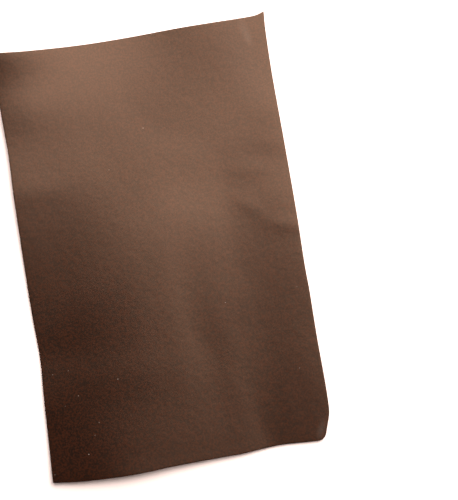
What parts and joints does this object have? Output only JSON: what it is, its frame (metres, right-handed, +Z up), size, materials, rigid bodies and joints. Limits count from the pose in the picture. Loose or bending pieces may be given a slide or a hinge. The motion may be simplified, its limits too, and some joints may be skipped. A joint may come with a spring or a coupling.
{
  "type": "vegetable-tanned leather sheet",
  "caption": "Rectangular cut sheet of stiff vegetable-tanned leather, lying grain side up with curled back corners, lifted long edges, an arched front edge and one cut-off corner.",
  "frame": {"origin": "middle of the sheet's outline, on the surface that the sheet lies on", "axes": "+Z up from the flesh side to the grain side, +Y along the length of the sheet to the edge between the two curled corners, +X across the width to the long edge that ends in the cut-off corner"},
  "size_m": [0.1942, 0.3028, 0.012],
  "materials": {
    "dyed_leather": "dark brown drum-dyed grain side with a soft satin sheen, fine grain and small scuffs; paler suede-like flesh side and raw cut edges"
  },
  "bodies": {
    "root": {"leather_sheet": "dyed_leather"}
  },
  "joints": []
}
